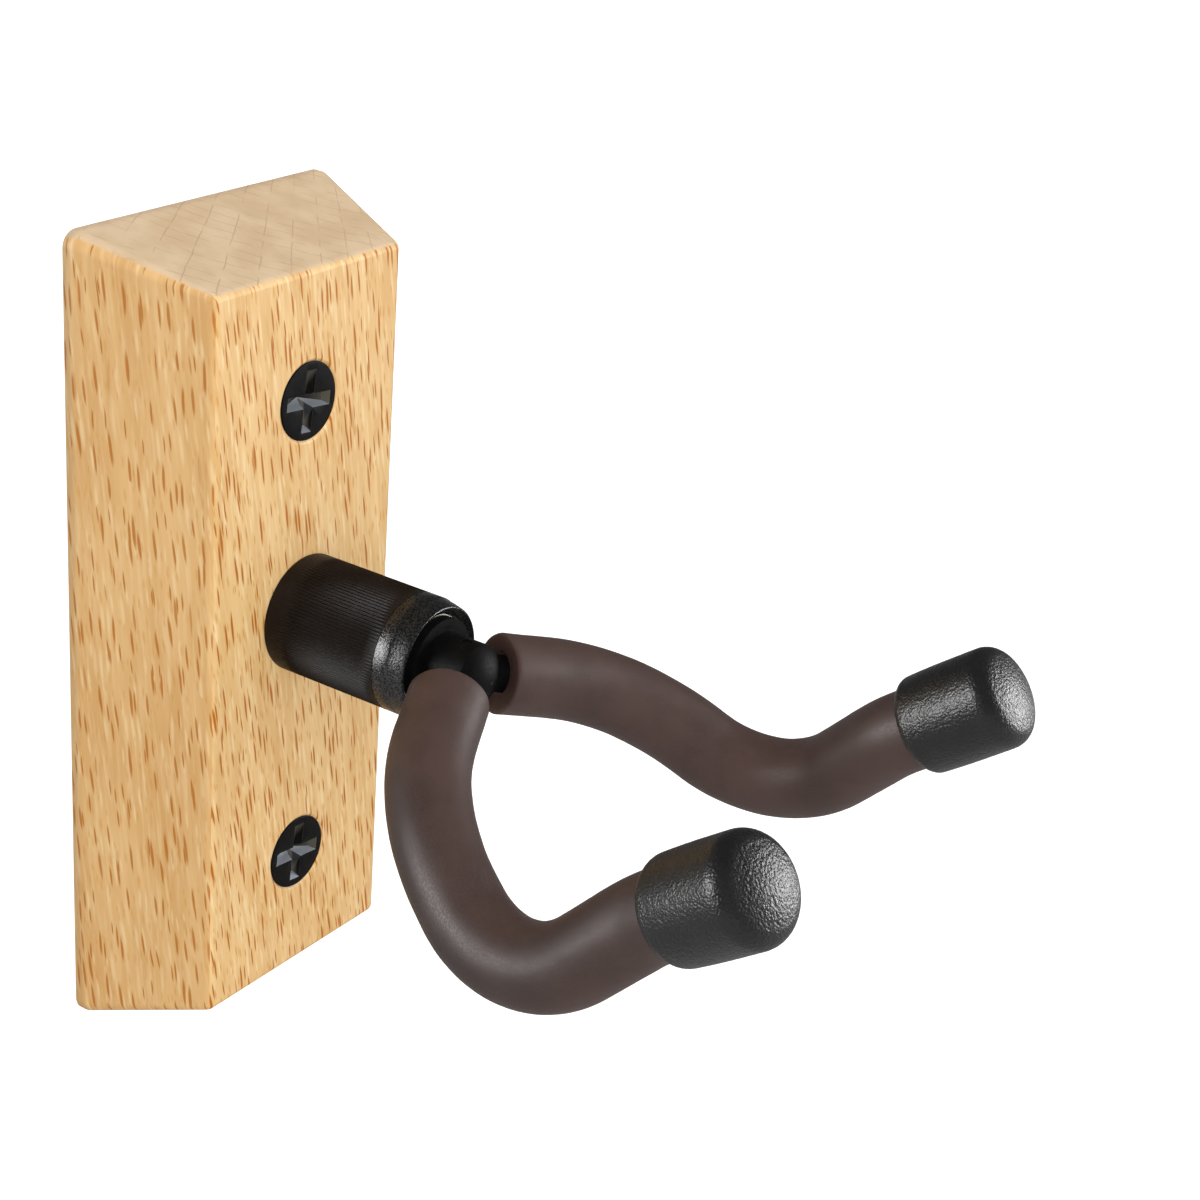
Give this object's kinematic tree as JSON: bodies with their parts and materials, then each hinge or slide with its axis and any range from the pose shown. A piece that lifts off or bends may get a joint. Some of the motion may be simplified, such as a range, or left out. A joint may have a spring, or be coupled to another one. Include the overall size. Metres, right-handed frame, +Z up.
{
  "type": "wall guitar hanger",
  "caption": "Tapered wooden wall block with two countersunk screws and a ribbed swivel housing that carries a foam-covered yoke with rubber end caps.",
  "frame": {"origin": "middle of the wooden block's back face, on the wall, halfway between the two wall screws", "axes": "+Z up the wall, -Y straight out of the wall towards the player, +X to the right seen from the front"},
  "size_m": [0.1178, 0.2029, 0.18],
  "materials": {
    "block_wood": "satin lacquered beech",
    "screw_black": "black phosphate",
    "housing_plastic": "matt black, fine ribs",
    "collar_metal": "black fine-texture powder coat",
    "bright_steel": "zinc plated",
    "bush_bronze": "sintered bronze",
    "washer_plastic": "natural nylon",
    "spindle_black": "satin black",
    "insert_nylon": "blue nylon",
    "rod_black": "satin black",
    "sleeve_foam": "matt dark brown closed-cell foam",
    "cap_rubber": "black rubber with a pebbled grain"
  },
  "bodies": {
    "wall_block": {"base_block": "block_wood", "upper_mounting_screw": "screw_black", "lower_mounting_screw": "screw_black", "swivel_housing": "housing_plastic", "front_collar": "collar_metal", "locating_pins": "bright_steel", "rear_bush": "bush_bronze", "front_bush": "bush_bronze", "thrust_washer": "washer_plastic", "stop_pin": "bright_steel", "plain_washer": "bright_steel", "disc_spring": "bright_steel"},
    "yoke": {"pivot_spindle": "spindle_black", "rod_pin": "spindle_black", "lock_nut": "bright_steel", "nut_insert": "insert_nylon", "yoke_rod": "rod_black", "left_foam_sleeve": "sleeve_foam", "right_foam_sleeve": "sleeve_foam", "left_end_cap": "cap_rubber", "right_end_cap": "cap_rubber"}
  },
  "joints": [
    {"name": "yoke_swivel", "type": "hinge", "parent": "wall_block", "child": "yoke", "pos_m": [0, -0.0725, 0.006], "axis": [0, -1, 0], "range_deg": [-30, 30]}
  ]
}
